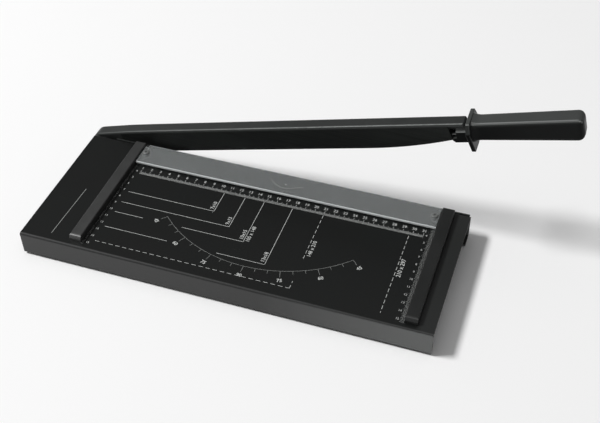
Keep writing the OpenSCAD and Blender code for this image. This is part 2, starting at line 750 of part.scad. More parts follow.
// Guard plate that keeps the hand off the blade: six-sided, widest above its middle
module finger_guard() on_arm() color([0.15, 0.15, 0.155]) {
    turns = [for (i = [0:3]) 90 * i / 3];
    difference() {
        loft(concat(
            [for (a = turns) guard_section(grip_x - guard_edge * (1 - cos(a)), guard_edge * (1 - sin(a)))],
            [for (i = [3:-1:0]) let (a = turns[i])
                guard_section(guard_x + guard_edge * (1 - cos(a)), guard_edge * (1 - sin(a)))]));
        translate([guard_x - cut, rod_y, rod_h]) rotate([0, 90, 0])
            cylinder(r = rod_r + thread_gap, h = guard_t + 2 * cut);
    }
}

function grip_section(x, more, d) =
    let (t = (x - grip_x) / grip_l,
         w = grip_w * (neck_w_share + (1 - neck_w_share) * t) + more - 2 * d,
         h = grip_h * (neck_h_share + (1 - neck_h_share) * t) + more - 2 * d)
    [for (p = round_box(handle_y, grip_mid, w, h, grip_corner + more / 2 - d / 2, corner_steps))
        [x, p[0], p[1]]];

// Grip: flares at the guard, swells towards its end and closes in a round tip
module handle_grip() on_arm() color([0.17, 0.17, 0.175]) {
    difference() {
        loft(concat(
            [for (i = [0:corner_steps]) let (a = 90 * i / corner_steps)
                grip_section(handle_end - grip_tip * (1 - cos(a)), 0, grip_tip * (1 - sin(a)))],
            [for (i = [3:-1:0]) let (t = i / 3)
                grip_section(grip_x + flare_l + (grip_l - 2 * flare_l - grip_tip) * t, 0, 0)],
            [for (i = [4:-1:0]) let (t = i / 5)
                grip_section(grip_x + flare_l * t, flare * pow(1 - t, 2), 0)]));
        translate([grip_x - cut, rod_y, rod_h]) rotate([0, 90, 0])
            cylinder(r = rod_r + thread_gap, h = rod_in_grip + cut + fit_gap);
    }
}

base_deck();
bed_knife();
bed_knife_screws();
bed_knife_nuts();
rubber_feet();
left_fence();
right_fence();
fence_screws();
clamp_plate();
clamp_screws();
clamp_springs();
clamp_bushes();
pivot_bolt();
pivot_outer_washer();
pivot_spacer();
pivot_inner_washer();
pivot_disc_springs();
pivot_nut();
arm_spine();
cutting_blade();
blade_screws();
pivot_bush();
handle_ferrule();
ferrule_screw();
handle_rod();
finger_guard();
handle_grip();
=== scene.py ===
"""Desk guillotine for paper: finishes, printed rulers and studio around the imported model."""
import math

import bmesh
import bpy
from mathutils import Matrix, Vector


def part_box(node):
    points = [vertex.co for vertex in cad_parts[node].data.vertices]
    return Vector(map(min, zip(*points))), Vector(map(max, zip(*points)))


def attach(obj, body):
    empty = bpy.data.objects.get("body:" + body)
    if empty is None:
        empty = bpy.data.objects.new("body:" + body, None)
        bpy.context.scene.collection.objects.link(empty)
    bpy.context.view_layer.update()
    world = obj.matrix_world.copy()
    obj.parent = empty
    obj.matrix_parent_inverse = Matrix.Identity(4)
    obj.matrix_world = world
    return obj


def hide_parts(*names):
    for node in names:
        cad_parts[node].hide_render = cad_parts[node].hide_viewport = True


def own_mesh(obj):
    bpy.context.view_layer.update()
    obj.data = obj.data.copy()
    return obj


bl_info = {
    "name": "Desk Guillotine Finishes",
    "version": (1, 0, 0),
    "blender": (4, 5, 0),
    "location": "View3D > Sidebar > Guillotine",
    "description": "Finishes, printed scales and a studio for a desk guillotine",
    "category": "Object",
}

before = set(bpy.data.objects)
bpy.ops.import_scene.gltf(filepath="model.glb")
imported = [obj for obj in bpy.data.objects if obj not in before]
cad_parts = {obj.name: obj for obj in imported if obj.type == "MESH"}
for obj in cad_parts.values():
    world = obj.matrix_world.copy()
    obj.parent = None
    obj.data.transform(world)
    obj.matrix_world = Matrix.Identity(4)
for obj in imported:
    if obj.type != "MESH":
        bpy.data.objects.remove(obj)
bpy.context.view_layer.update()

MM = 0.001              # a millimetre in m
CM = 10                 # a centimetre in mm
LEFT_MARGIN = 63.5      # base to the left of the rulers' zero, mm
KNIFE_T = 1.8           # bed knife between the base and the cut, mm
FENCE_GAP = 320.5       # clear width between the fences, mm

deck_low, deck_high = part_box("base_deck")
# The rulers' zero on the deck, at the left fence's inner face and the cut
ZERO = Vector((deck_low.x + LEFT_MARGIN * MM, deck_high.y + KNIFE_T * MM, deck_high.z))

# Painted light, paler towards the base's right end: where along the base it starts and is full, in
# m, and how much of it lies on the margin
SKIRT_PAINTED_LIGHT = (deck_high.x - 0.165, deck_high.x - 0.02)
MARGIN_PAINTED_LIGHT = (deck_high.x - 0.018, deck_high.x - 0.012)
MARGIN_PAINTED_LIGHT_AMOUNT = 0.068

# The arm's pivot from the rulers' zero in mm, and how far the arm is raised at rest in degrees
PIVOT = (-55.0, 0.0, -12.5)
ARM_RAISE = 15.3

# Corners and edge rounding of the ferrule's lug in the arm's own axes, in mm
LUG_LOW = (387.0, 3.0, -4.6)
LUG_HIGH = (389.7, 9.5, -0.85)
LUG_ROUNDING = 0.5

# Colours of the small parts and marks, as sRGB hex
KNIFE_STEEL = "#3A3C3B"
ZINC = "#A9ABAD"
ROD_STEEL = "#6A6C6B"
SPRING_STEEL = "#6E706F"
GREY_ACETAL = "#626463"
BRASS = "#C9A25A"
RUBBER = "#141414"
RUBBER_BLOOM = "#232322"
FROSTED_BOW = "#6F7271"
FROSTED_DOT = "#9EA1A0"

# How far the normal of a ridge with a painted highlight leans to the side, from 0 for up to 1 for
# level
GRIP_RIDGE_LEAN = 0.56
FERRULE_RIDGE_LEAN = 0.795

# Layout of the printing in mm from the rulers' zero, x to the right and y away from the user.
# Tick lengths are for whole centimetres, half centimetres and millimetres.
RULER_Y = -45.5
RULER_NUMBER_Y = -36.6
RULER_SPAN = range(10, 311)
RULER_TICKS = (5.6, 4.2, 2.9)
RULER_NUMBERS = range(1, 32)
SIDE_SPAN = range(31, 156)
SIDE_TICKS = (5.4, 4.8, 4.2)
SIDE_NUMBERS = range(4, 16)
SIDE_TICK_GAP = 0.4         # between a fence and the ticks beside it
LEFT_NUMBER_GAP = 5.6       # between a fence and the middle of the numbers beside it
RIGHT_NUMBER_GAP = 7.4
SIDE_NUMBER_DROP = 2.2      # a side number's middle, nearer than its tick

# Paper sizes: right and near edge of the sheet, the gaps drawn in its near edge, and its labels
# with their places from that corner
PAPER_SIZES = [
    (105.0, -74.0, [], [("7x10", -3.2, 2.5)]),
    (127.5, -90.0, [], [("9x13", -3.2, 2.5)]),
    (148.0, -105.0, [(41.6, 84.0)], [("10x15", -3.2, 2.5), ("105 x 148", 3.6, 1.0)]),
    (178.0, -127.0, [(77.5, 129.3)], [("13x18", -3.2, 2.5)]),
]
SHEETS_LEFT, SHEETS_FAR = 11.5, -46.5
LABEL_TURN, LABEL_BOLD = 90, 0.05

# Two larger sizes have dashed edges, and labels given by words, place, scale and boldness
DASHED_EDGES = [(11.8, -148, 210, -148), (210, -46.5, 210, -108), (210, -148, 210, -139),
                (297, -48, 297, -150)]
DASH, DASH_GAP = 4.0, 3.2
DASHED_LABELS = [("148 x 210", 214, -104.5, 1.0, 0.05), ("210 x 297", 301, -103.5, 1.1, 0.06)]

# The angle scale about a centre on the cut, with its ticks and numbers outside its arc
SCALE_X, SCALE_R, SCALE_REACH = 160.0, 135.0, 45
SHORT_TICK_STEP, SHORT_TICK = 5, 4
LONG_TICK_STEP, LONG_TICK = 15, 7.5
ARC_STEPS = 72
ANGLE_NUMBER_OUT, ANGLE_NUMBER_BOLD = 12, 0.1
OVERPRINT = 1.5             # height of print that crosses the sheets' lines, in ink thicknesses

# The plain thin line on the left panel, by its ends, and its width in the angle lines' widths
PANEL_LINE = (-33.9, -151.5, -31.5, -84.0)
PANEL_LINE_W = 2

# The clamp plate's faint frosted bow, by points with its width there, and the dot over it by its
# middle and size
PLATE_BOW = [(144.0, -15.8, 0.3), (145.6, -17.2, 1.2), (151.4, -22.3, 1.9), (157.9, -25.2, 2.0),
             (163.6, -25.4, 1.8), (168.3, -23.8, 1.7), (172.6, -21.2, 1.9), (177.9, -18.8, 2.0),
             (180.5, -17.6, 0.4)]
PLATE_DOT = (161.6, -19.5, 0.9)
BOW_LIFT, DOT_LIFT = 0.03, 0.04

# The studio in m, with the camera's place in mm from the rulers' zero and its turn in degrees
FLOOR_HALF = 8.0
KEY_PLACE = (-3.98, -1.1, 5.5)
KEY_SIZE = (1.9, 1.15)
CAMERA_PLACE = (428.06, -733.81, 685.37)
CAMERA_TURN = (46.6996, 0.6379, 18.8153)
CAMERA_LENS, CAMERA_SENSOR = 60.513, 36.0

# Bands of the sky's height, from 0 at the horizon to 1 overhead, where its tone changes
SWEEP_BAND = (0.06, 0.22)
CEILING_BAND = (0.8, 0.92)


# Settings

class RulerPrintSettings(bpy.types.PropertyGroup):
    """Sizes of the printing on the deck, in millimetres"""

    line_w: bpy.props.FloatProperty(
        name="Line width", description="Width of the paper size lines in mm",
        default=0.46, min=0.2, max=1.5)
    tick_w: bpy.props.FloatProperty(
        name="Tick width", description="Width of a scale's ticks in mm",
        default=0.3, min=0.1, max=0.8)
    side_tick_w: bpy.props.FloatProperty(
        name="Side tick width", description="Width of the side scales' ticks in mm",
        default=0.12, min=0.05, max=0.8)
    arc_w: bpy.props.FloatProperty(
        name="Protractor line width", description="Width of the angle scale's lines in mm",
        default=0.3, min=0.1, max=1.0)
    number_h: bpy.props.FloatProperty(
        name="Ruler number size", description="Type size of the ruler's numbers in mm",
        default=4.7, min=2, max=8)
    side_number_h: bpy.props.FloatProperty(
        name="Side number size", description="Type size of the side scales' numbers in mm",
        default=3.4, min=2, max=8)
    label_h: bpy.props.FloatProperty(
        name="Paper size label size", description="Type size of the paper size labels in mm",
        default=5.4, min=2, max=9)
    ink_t: bpy.props.FloatProperty(
        name="Ink thickness", description="Height of the ink above the deck in mm",
        default=0.04, min=0.02, max=0.2)
    ink: bpy.props.StringProperty(
        name="Ink colour", description="Colour of the screen print, as sRGB hex",
        default="#CDCFCD")
    faint_ink: bpy.props.StringProperty(
        name="Faint ink colour", description="Colour of the angle scale's print, as sRGB hex",
        default="#9A9C9A")


class CutterFinishSettings(bpy.types.PropertyGroup):
    """Colours of the cutter's finishes, as sRGB hex"""

    powder_coat: bpy.props.StringProperty(
        name="Powder coat", description="Colour of the base's coating", default="#080A09")
    # Painted light: the paler tone of the coat towards the base's right end
    dusty_coat: bpy.props.StringProperty(
        name="Dusty coat", description="Colour of the base's coating where dust lies",
        default="#757776")
    fence_black: bpy.props.StringProperty(
        name="Fence plastic", description="Colour of the moulded fences", default="#0C0E0D")
    handle_black: bpy.props.StringProperty(
        name="Handle plastic", description="Colour of the grip, its guard and its ferrule",
        default="#3A3C3B")
    # Painted highlight: the pale colour along the handle's upper ridges
    handle_worn: bpy.props.StringProperty(
        name="Worn ridges", description="Colour of the handle's ridges where hands rub",
        default="#7E807F")
    anodised: bpy.props.StringProperty(
        name="Anodised arm", description="Colour of the arm's bar", default="#373938")
    blade_black: bpy.props.StringProperty(
        name="Blackened blade", description="Colour of the blade's face", default="#2C2E2D")
    acrylic: bpy.props.StringProperty(
        name="Clear plate", description="Tint of the clear clamp plate", default="#EEF2F2")


class StudioSettings(bpy.types.PropertyGroup):
    """Floor and lights of the studio"""

    floor: bpy.props.StringProperty(
        name="Floor colour", description="Colour of the studio floor, as sRGB hex",
        default="#F6F6F6")
    bounce: bpy.props.StringProperty(
        name="Floor bounce colour",
        description="Colour of the light that the floor throws back up, as sRGB hex",
        default="#6A6A6A")
    sky: bpy.props.FloatProperty(
        name="Room strength", description="Strength of the dim room between backdrop and ceiling",
        default=0.12, min=0, max=2)
    ceiling: bpy.props.FloatProperty(
        name="Ceiling strength", description="Strength of the pale ceiling straight overhead",
        default=0.75, min=0, max=2)
    sweep: bpy.props.FloatProperty(
        name="Sweep strength", description="Strength of the pale backdrop low on all sides",
        default=0.8, min=0, max=2)
    key: bpy.props.FloatProperty(
        name="Key light", description="Power of the softbox at the upper left",
        default=415.0, min=0, max=1000, unit="POWER")


# Small helpers

def linear(hex_colour):
    """An sRGB hex colour as Blender's linear colour."""
    parts = [int(hex_colour[i:i + 2], 16) / 255 for i in (1, 3, 5)]
    return (*(c / 12.92 if c <= 0.04045 else ((c + 0.055) / 1.055) ** 2.4 for c in parts), 1.0)


def add_node(tree, kind, values=None, links=None, **settings):
    """Adds a node with its settings, socket values and links from other nodes' outputs."""
    node = tree.nodes.new(kind)
    for name, value in settings.items():
        setattr(node, name, value)
    for name, value in (values or {}).items():
        node.inputs[name].default_value = value
    for name, output in (links or {}).items():
        tree.links.new(output, node.inputs[name])
    return node


def start_material(name):
    """An empty material with its node tree and object coordinates in metres."""
    material = bpy.data.materials.new(name)
    material.use_nodes = True
    tree = material.node_tree
    tree.nodes.clear()
    place = add_node(tree, "ShaderNodeTexCoord").outputs["Object"]
    return material, tree, place


def end_material(tree, values, links):
    """Ends a material with its principled shader, given constant values and linked patterns."""
    shader = add_node(tree, "ShaderNodeBsdfPrincipled", values, links)
    add_node(tree, "ShaderNodeOutputMaterial", links={"Surface": shader.outputs[0]})


def noise(tree, place, size_mm, detail, stretch=(1, 1, 1)):
    """Noise whose features are about size_mm across, longer along an axis with a small stretch."""
    moved = add_node(tree, "ShaderNodeMapping", {"Scale": stretch}, {"Vector": place})
    return add_node(tree, "ShaderNodeTexNoise", {"Scale": 1 / MM / size_mm, "Detail": detail},
                    {"Vector": moved.outputs[0]}).outputs["Fac"]


def span(tree, factor, low, high, start=0.3, stop=0.7):
    """Maps a factor that goes from start to stop, as noise does, to the range from low to high."""
    return add_node(tree, "ShaderNodeMapRange",
                    {"From Min": start, "From Max": stop, "To Min": low, "To Max": high},
                    {"Value": factor}).outputs[0]


def maths(tree, operation, first, second=None):
    """The result of a maths node on one or two outputs, or on an output and a number."""
    links, values = {0: first}, {}
    if isinstance(second, float):
        values[1] = second
    elif second is not None:
        links[1] = second
    return add_node(tree, "ShaderNodeMath", values, links, operation=operation).outputs[0]


def xyz(tree, vector):
    """The three parts of a vector."""
    return add_node(tree, "ShaderNodeSeparateXYZ", links={"Vector": vector}).outputs


def facing(tree):
    """The three parts of the surface's normal in the object's own axes."""
    return xyz(tree, add_node(tree, "ShaderNodeTexCoord").outputs["Normal"])


def relief(tree, height, strength, depth_mm):
    """A bump from a pattern's height."""
    return add_node(tree, "ShaderNodeBump", {"Strength": strength, "Distance": depth_mm * MM},
                    {"Height": height}).outputs[0]


def two_tone(tree, factor, dark, light):
    """Mixes two colours, each hex or another node's output, by a factor."""
    values, links = {}, {0: factor}
    for socket, colour in ((6, dark), (7, light)):
        if isinstance(colour, str):
            values[socket] = linear(colour)
        else:
            links[socket] = colour
    return add_node(tree, "ShaderNodeMix", values, links, data_type="RGBA").outputs[2]


def shade(hex_colour, factor):
    """The hex colour made darker or lighter by a factor."""
    parts = [round(int(hex_colour[i:i + 2], 16) * factor) for i in (1, 3, 5)]
    return "#" + "".join(f"{min(255, part):02X}" for part in parts)


def mottled(tree, pattern, colour, low, high):
    """The hex colour, with a noise pattern from its low to its high shade."""
    return two_tone(tree, span(tree, pattern, 0, 1), shade(colour, low), shade(colour, high))


def dress(node_names, material):
    """Gives CAD nodes their finish."""
    for name in node_names:
        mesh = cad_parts[name].data
        if not mesh.materials:
            mesh.materials.append(material)
        for i in range(len(mesh.materials)):
            mesh.materials[i] = material


def new_object(name, data):
    """An object with its data, in the scene's collection."""
    item = bpy.data.objects.new(name, data)
    bpy.context.scene.collection.objects.link(item)
    return item


# Finishes

def powder_coated_steel(colour, painted_light_tone):
    """Black satin powder coat: a fine orange peel softens each reflection, and bends are dull.

    Painted light greys the near skirt towards its right end, and a little the margin at that end."""
    material, tree, place = start_material("powder_coated_steel")
    peel = noise(tree, place, size_mm=0.7, detail=3)
    cloud = noise(tree, place, size_mm=45, detail=2)
    normal = facing(tree)
    along = xyz(tree, place)["X"]
    # Painted light: the near skirt, and a little the right margin, made paler towards the base's
    # right end
    skirt = maths(tree, "MULTIPLY", span(tree, normal["Y"], 1, 0, start=-0.98, stop=-0.8),
                  span(tree, along, 0, 1, *SKIRT_PAINTED_LIGHT))
    margin = maths(tree, "MULTIPLY", span(tree, normal["Z"], 0, 1, start=0.8, stop=0.98),
                   span(tree, along, 0, MARGIN_PAINTED_LIGHT_AMOUNT, *MARGIN_PAINTED_LIGHT))
    level = maths(tree, "ABSOLUTE", normal["Z"])
    bend = maths(tree, "MULTIPLY", span(tree, level, 0, 0.3, start=0.05, stop=0.2),
                 span(tree, level, 1, 0, start=0.97, stop=0.995))
    clean = mottled(tree, cloud, colour, 0.94, 1.06)
    end_material(tree, {"IOR": 1.54, "Specular IOR Level": 0.5}, {
        "Base Color": two_tone(tree, maths(tree, "MAXIMUM", skirt, margin), clean, painted_light_tone),
        "Roughness": maths(tree, "ADD", span(tree, peel, 0.3, 0.38), bend),
        "Normal": relief(tree, peel, 0.16, 0.06)})
    return material


def moulded_abs(name, colour, rough, gloss):
    """Moulded ABS from a spark-eroded tool: an even fine grain with a soft sheen."""
    material, tree, place = start_material(name)
    grain = noise(tree, place, size_mm=0.5, detail=2)
    rubbed = noise(tree, place, size_mm=22, detail=3)
    end_material(tree, {"IOR": 1.53, "Specular IOR Level": gloss}, {
        "Base Color": mottled(tree, rubbed, colour, 0.95, 1.07),
        "Roughness": span(tree, rubbed, rough + 0.05, rough - 0.05),
        "Normal": relief(tree, grain, 0.2, 0.05)})
    return material


def moulded_grip(name, colour, ridge_highlight, lean):
    """Moulded ABS with painted light and shade: its upper faces are painted lighter, with a
    mottle, and its sides darker, and its upper ridges carry a painted highlight and are a little
    smoother.
    """
    material, tree, place = start_material(name)
    grain = noise(tree, place, size_mm=0.5, detail=2)
    rubbed = noise(tree, place, size_mm=22, detail=3)
    normal = facing(tree)
    side = maths(tree, "ABSOLUTE", normal["Y"])
    off_ridge = maths(tree, "ABSOLUTE", maths(tree, "SUBTRACT", side, lean))
    # Painted highlight along the ridges whose normals lean to the side by lean
    ridge = maths(tree, "MULTIPLY", span(tree, off_ridge, 1, 0, start=0.04, stop=0.2),
                  span(tree, normal["Z"], 0, 1, start=0.3, stop=0.6))
    # Painted light and shade: faces turned up are painted lighter, faces turned to the side darker
    painted_lighting = maths(tree, "MULTIPLY", span(tree, normal["Z"], 0, 1, start=0.1, stop=0.9),
                 span(tree, rubbed, 0.88, 1.0))
    lit_and_shaded = two_tone(tree, painted_lighting, shade(colour, 0.5), shade(colour, 1.14))
    end_material(tree, {"IOR": 1.53, "Specular IOR Level": 0.07}, {
        "Base Color": two_tone(tree, ridge, lit_and_shaded, ridge_highlight),
        "Roughness": span(tree, ridge, 0.32, 0.24, start=0, stop=1),
        "Normal": relief(tree, grain, 0.2, 0.05)})
    return material


def clear_acrylic(colour):
    """Cast acrylic sheet: clear and polished with a faint haze, and frosted at its sawn edges."""
    material, tree, place = start_material("clear_acrylic")
    haze = noise(tree, place, size_mm=18, detail=4)
    level = maths(tree, "ABSOLUTE", facing(tree)["Z"])
    end_material(tree, {"Base Color": linear(colour), "IOR": 1.49}, {
        "Transmission Weight": span(tree, level, 0.3, 0.88, start=0.8, stop=0.95),
        "Roughness": span(tree, haze, 0.14, 0.18)})
    return material


def anodised_aluminium(colour):
    """Extruded bar, black anodised: fine lines along the bar under a satin oxide."""
    material, tree, place = start_material("anodised_aluminium")
    lines = noise(tree, place, size_mm=0.6, detail=2, stretch=(0.03, 1, 0.6))
    cloud = noise(tree, place, size_mm=30, detail=2)
    end_material(tree, {"Metallic": 0.55, "Specular IOR Level": 0.5}, {
        "Base Color": mottled(tree, cloud, colour, 0.95, 1.06),
        "Roughness": span(tree, lines, 0.42, 0.52),
        "Normal": relief(tree, lines, 0.12, 0.03)})
    return material


def blackened_steel(colour):
    """Blackened knife steel: dark oiled oxide with streaks along the blade."""
    material, tree, place = start_material("blackened_steel")
    streaks = noise(tree, place, size_mm=1.2, detail=3, stretch=(0.02, 1, 1))
    end_material(tree, {"Metallic": 0.7}, {
        "Base Color": mottled(tree, streaks, colour, 0.88, 1.12),
        "Roughness": span(tree, streaks, 0.34, 0.48)})
    return material


def worked_metal(name, colour, lay, rough, metallic=1.0):
    """Ground, drawn or turned metal: fine scratches along its lay stretch its reflections."""
    material, tree, place = start_material(name)
    scratches = noise(tree, place, size_mm=0.35, detail=3, stretch=lay)
    end_material(tree, {"Metallic": metallic}, {
        "Base Color": mottled(tree, scratches, colour, 0.92, 1.05),
        "Roughness": span(tree, scratches, rough - 0.06, rough + 0.08),
        "Normal": relief(tree, scratches, 0.15, 0.02)})
    return material


def nitrile_rubber():
    """Moulded nitrile rubber: near black and dull, with a dusty bloom."""
    material, tree, place = start_material("nitrile_rubber")
    bloom = noise(tree, place, size_mm=3, detail=4)
    end_material(tree, {"IOR": 1.52, "Specular IOR Level": 0.3}, {
        "Base Color": two_tone(tree, span(tree, bloom, 0, 1), RUBBER, RUBBER_BLOOM),
        "Roughness": span(tree, bloom, 0.75, 0.9)})
    return material


def screen_ink(name, colour):
    """Screen-printed ink: a flat pale film, a little thin where the mesh left less."""
    material, tree, place = start_material(name)
    film = noise(tree, place, size_mm=1.6, detail=3)
    end_material(tree, {"IOR": 1.5, "Specular IOR Level": 0.3}, {
        "Base Color": mottled(tree, film, colour, 0.84, 1),
        "Roughness": span(tree, film, 0.55, 0.7)})
    return material


def frosted_mark(name, colour):
    """Etched acrylic: a pale, dull frost on the clear plate."""
    material, tree, place = start_material(name)
    frost = noise(tree, place, size_mm=0.8, detail=3)
    end_material(tree, {"IOR": 1.49, "Specular IOR Level": 0.3}, {
        "Base Color": mottled(tree, frost, colour, 0.95, 1.05),
        "Roughness": span(tree, frost, 0.6, 0.75)})
    return material


# Printing

class Print:
    """Collects flat shapes, drawn in the rulers' millimetres, into one thin mesh."""

    def __init__(self, name, height):
        self.name = name
        self.height = height
        self.mesh = bmesh.new()

    def place(self, x, y):
        return ZERO + Vector((x, y, self.height)) * MM

    def face(self, points):
        self.mesh.faces.new([self.mesh.verts.new(self.place(x, y)) for x, y in points])

    def line(self, x0, y0, x1, y1, w):
        """A line of width w that also reaches half its width past both ends."""
        along = Vector((x1 - x0, y1 - y0)).normalized() * w / 2
        side = Vector((-along.y, along.x))
        a, b = Vector((x0, y0)), Vector((x1, y1))
        self.face([a - along - side, b + along - side, b + along + side, a - along + side])

    def dashes(self, x0, y0, x1, y1, w, dash, gap):
        run = Vector((x1 - x0, y1 - y0))
        unit = run.normalized()
        at = 0.0
        while at < run.length:
            end = min(at + dash, run.length)
            self.line(x0 + unit.x * at, y0 + unit.y * at, x0 + unit.x * end, y0 + unit.y * end, w)
            at += dash + gap

    def arc(self, x, y, r, a0, a1, w, steps):
        """Part of a ring, with angles in degrees from straight towards the user."""
        angles = [math.radians(a0 + (a1 - a0) * i / steps) for i in range(steps + 1)]
        for a, b in zip(angles, angles[1:]):
            self.face([(x + (r + s) * math.sin(t), y - (r + s) * math.cos(t))
                       for t, s in ((a, w / 2), (b, w / 2), (b, -w / 2), (a, -w / 2))])

    def ribbon(self, points):
        """A strip along (x, y, width) points."""
        edges = []
        for i, (x, y, w) in enumerate(points):
            before, after = points[max(i - 1, 0)], points[min(i + 1, len(points) - 1)]
            side = Vector((before[1] - after[1], after[0] - before[0])).normalized() * w / 2
            edges.append(((x - side.x, y - side.y), (x + side.x, y + side.y)))
        for (a, b), (c, d) in zip(edges, edges[1:]):
            self.face([a, c, d, b])

    def text(self, words, x, y, size, turn=0.0, bold=0.0, align="CENTER"):
        """Numbers set in Blender's own typeface."""
        curve = bpy.data.curves.new("type", "FONT")
        curve.body, curve.size, curve.offset = words, size, bold
        curve.align_x, curve.align_y, curve.resolution_u = align, "CENTER", 3
        letters = new_object("type", curve)
        bpy.context.view_layer.update()
        solved = letters.evaluated_get(bpy.context.evaluated_depsgraph_get())
        flat = bpy.data.meshes.new_from_object(solved)
        flat.transform(Matrix.Translation(self.place(x, y))
                       @ Matrix.Rotation(math.radians(turn), 4, "Z") @ Matrix.Scale(MM, 4))
        self.mesh.from_mesh(flat)
        bpy.data.meshes.remove(flat)
        bpy.data.objects.remove(letters)
        bpy.data.curves.remove(curve)

    def finish(self, material, body):
        """Turns every face up and makes the piece."""
        for face in self.mesh.faces:
            face.normal_update()
            if face.normal.z < 0:
                face.normal_flip()
        data = bpy.data.meshes.new(self.name)
        self.mesh.to_mesh(data)
        self.mesh.free()
        data.materials.append(material)
        piece = new_object(self.name, data)
        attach(piece, body)


def tick(at, lengths):
    """The length of the tick at a place in mm along a scale."""
    return lengths[0] if at % CM == 0 else lengths[1] if at % (CM // 2) == 0 else lengths[2]


def from_scale_centre(r, degrees):
    """The point at r mm from the angle scale's centre, at an angle from straight to the user."""
    angle = math.radians(degrees)
    return SCALE_X + r * math.sin(angle), -r * math.cos(angle)


def lug_mesh():
    """The small lug by which the ferrule laps behind the blade's end."""
    low, high = Vector(LUG_LOW), Vector(LUG_HIGH)
    block = bmesh.new()
    bmesh.ops.create_cube(block, size=1.0, matrix=Matrix.Translation((low + high) / 2)
                          @ Matrix.Diagonal((*(high - low), 1.0)))
    bmesh.ops.bevel(block, geom=block.edges[:], offset=LUG_ROUNDING, segments=3, profile=0.5,
                    affect="EDGES")
    block.transform(Matrix.Translation(ZERO) @ Matrix.Scale(MM, 4) @ Matrix.Translation(PIVOT)
                    @ Matrix.Rotation(-math.radians(ARM_RAISE), 4, "Y"))
    data = bpy.data.meshes.new("ferrule_lug")
    block.to_mesh(data)
    block.free()
    return data


# Operators

class CUTTER_OT_base_finish(bpy.types.Operator):
    """Coats the folded base and gives the bed knife its ground steel"""

    bl_idname = "cutter.base_finish"
    bl_label = "Finish the base"

    def execute(self, context):
        colours = context.scene.cutter_finish
        dress(["base_deck"], powder_coated_steel(colours.powder_coat, colours.dusty_coat))
        dress(["bed_knife"],
              worked_metal("ground_knife_steel", KNIFE_STEEL, (0.03, 1, 1), rough=0.4,
                           metallic=0.6))
        dress(["rubber_feet"], nitrile_rubber())
        return {"FINISHED"}


class CUTTER_OT_fittings_finish(bpy.types.Operator):
    """Gives the fences, screws, springs and bushes their finishes"""

    bl_idname = "cutter.fittings_finish"
    bl_label = "Finish the fittings"

    def execute(self, context):
        colours = context.scene.cutter_finish
        dress(["left_fence"], moulded_abs("fence_abs", colours.fence_black, rough=0.5, gloss=1.0))
        dress(["right_fence"],
              moulded_abs("right_fence_abs", colours.fence_black, rough=0.5, gloss=0.5))
        dress(["clamp_screws", "clamp_bushes"],
              moulded_abs("grey_acetal", GREY_ACETAL, rough=0.5, gloss=0.5))
        dress(["bed_knife_screws", "bed_knife_nuts", "fence_screws", "pivot_bolt",
               "pivot_outer_washer", "pivot_spacer", "pivot_inner_washer", "pivot_nut",
               "blade_screws", "ferrule_screw"],
              worked_metal("zinc_plated_steel", ZINC, (1, 1, 1), rough=0.3))
        dress(["handle_rod"],
              worked_metal("drawn_rod_steel", ROD_STEEL, (0.1, 1, 1), rough=0.34))
        dress(["clamp_springs", "pivot_disc_springs"],
              worked_metal("spring_steel", SPRING_STEEL, (1, 1, 1), rough=0.36, metallic=0.7))
        dress(["pivot_bush"], worked_metal("turned_brass", BRASS, (1, 0.1, 1), rough=0.3))

        # A copy of the springs with its own mesh stands on the base in place of the CAD springs
        coils = new_object("clamp_coils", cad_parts["clamp_springs"].data.copy())
        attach(coils, "base")
        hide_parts("clamp_springs")
        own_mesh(coils)
        return {"FINISHED"}


class CUTTER_OT_clamp_finish(bpy.types.Operator):
    """Makes the clamp plate clear acrylic and adds its frosted mark"""

    bl_idname = "cutter.clamp_finish"
    bl_label = "Finish the clamp"

    def execute(self, context):
        dress(["clamp_plate"], clear_acrylic(context.scene.cutter_finish.acrylic))
        top = (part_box("clamp_plate")[1].z - ZERO.z) / MM
        bow = Print("plate_bow", top + BOW_LIFT)
        bow.ribbon(PLATE_BOW)
        bow.finish(frosted_mark("frosted_bow", FROSTED_BOW), "clamp")
        x, y, size = PLATE_DOT
        dot = Print("plate_dot", top + DOT_LIFT)
        dot.arc(x, y, size / 2, 0, 360, size, steps=16)
        dot.finish(frosted_mark("frosted_dot", FROSTED_DOT), "clamp")
        return {"FINISHED"}


class CUTTER_OT_arm_finish(bpy.types.Operator):
    """Finishes the arm's bar, the blade and the handle"""

    bl_idname = "cutter.arm_finish"
    bl_label = "Finish the arm"

    def execute(self, context):
        colours = context.scene.cutter_finish
        dress(["arm_spine"], anodised_aluminium(colours.anodised))
        dress(["cutting_blade"], blackened_steel(colours.blade_black))
        dress(["finger_guard", "handle_grip"],
              moulded_grip("handle_abs", colours.handle_black, colours.handle_worn,
                           GRIP_RIDGE_LEAN))
        ferrule = moulded_grip("ferrule_abs", colours.handle_black, colours.handle_worn,
                               FERRULE_RIDGE_LEAN)
        dress(["handle_ferrule"], ferrule)
        lug = new_object("ferrule_lug", lug_mesh())
        lug.data.materials.append(ferrule)
        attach(lug, "arm")
        return {"FINISHED"}


